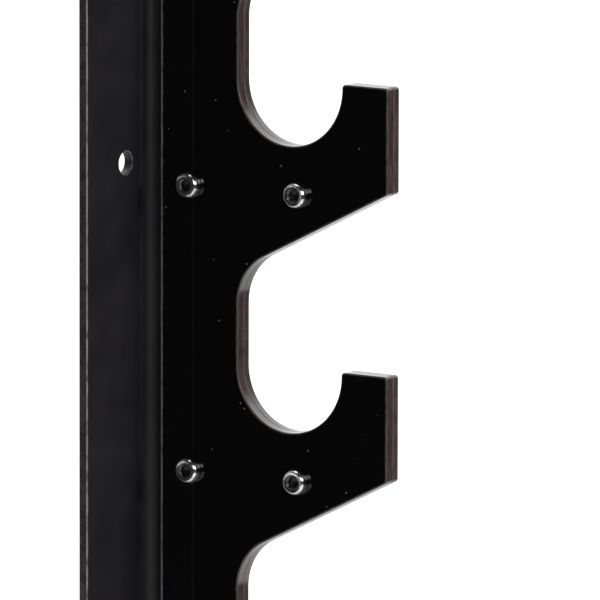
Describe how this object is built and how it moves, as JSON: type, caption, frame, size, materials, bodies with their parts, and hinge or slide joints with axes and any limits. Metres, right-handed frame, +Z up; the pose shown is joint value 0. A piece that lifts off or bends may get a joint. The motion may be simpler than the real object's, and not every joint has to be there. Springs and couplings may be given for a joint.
{
  "type": "wall cue rack",
  "caption": "Wall rack upright of bent steel with a vertical row of open hooks and a screwed-on plastic cheek, for round bars or cues lying level.",
  "frame": {"origin": "on the flange's wall face, on the line of the wall screws, halfway between the lowest and the highest notch", "axes": "+Z up, +Y into the wall, so the hooks stand out along -Y; +X from the wall flange's free edge towards the hook plate"},
  "size_m": [0.0407, 0.0934, 0.5287],
  "materials": {
    "upright_coat": "satin black powder coat",
    "cheek_plastic": "glossy black, sawn and machined edges brownish grey",
    "screw_steel": "bright plated steel, dark inside the socket",
    "washer_steel": "bright plated steel",
    "nut_steel": "bright plated steel"
  },
  "bodies": {
    "root": {"upright": "upright_coat", "cheek": "cheek_plastic", "hook_1_inner_screw": "screw_steel", "hook_1_inner_washer": "washer_steel", "hook_1_inner_nut": "nut_steel", "hook_1_outer_screw": "screw_steel", "hook_1_outer_washer": "washer_steel", "hook_1_outer_nut": "nut_steel", "hook_2_inner_screw": "screw_steel", "hook_2_inner_washer": "washer_steel", "hook_2_inner_nut": "nut_steel", "hook_2_outer_screw": "screw_steel", "hook_2_outer_washer": "washer_steel", "hook_2_outer_nut": "nut_steel", "hook_3_inner_screw": "screw_steel", "hook_3_inner_washer": "washer_steel", "hook_3_inner_nut": "nut_steel", "hook_3_outer_screw": "screw_steel", "hook_3_outer_washer": "washer_steel", "hook_3_outer_nut": "nut_steel", "hook_4_inner_screw": "screw_steel", "hook_4_inner_washer": "washer_steel", "hook_4_inner_nut": "nut_steel", "hook_4_outer_screw": "screw_steel", "hook_4_outer_washer": "washer_steel", "hook_4_outer_nut": "nut_steel", "hook_5_inner_screw": "screw_steel", "hook_5_inner_washer": "washer_steel", "hook_5_inner_nut": "nut_steel", "hook_5_outer_screw": "screw_steel", "hook_5_outer_washer": "washer_steel", "hook_5_outer_nut": "nut_steel", "hook_6_inner_screw": "screw_steel", "hook_6_inner_washer": "washer_steel", "hook_6_inner_nut": "nut_steel", "hook_6_outer_screw": "screw_steel", "hook_6_outer_washer": "washer_steel", "hook_6_outer_nut": "nut_steel"}
  },
  "joints": []
}
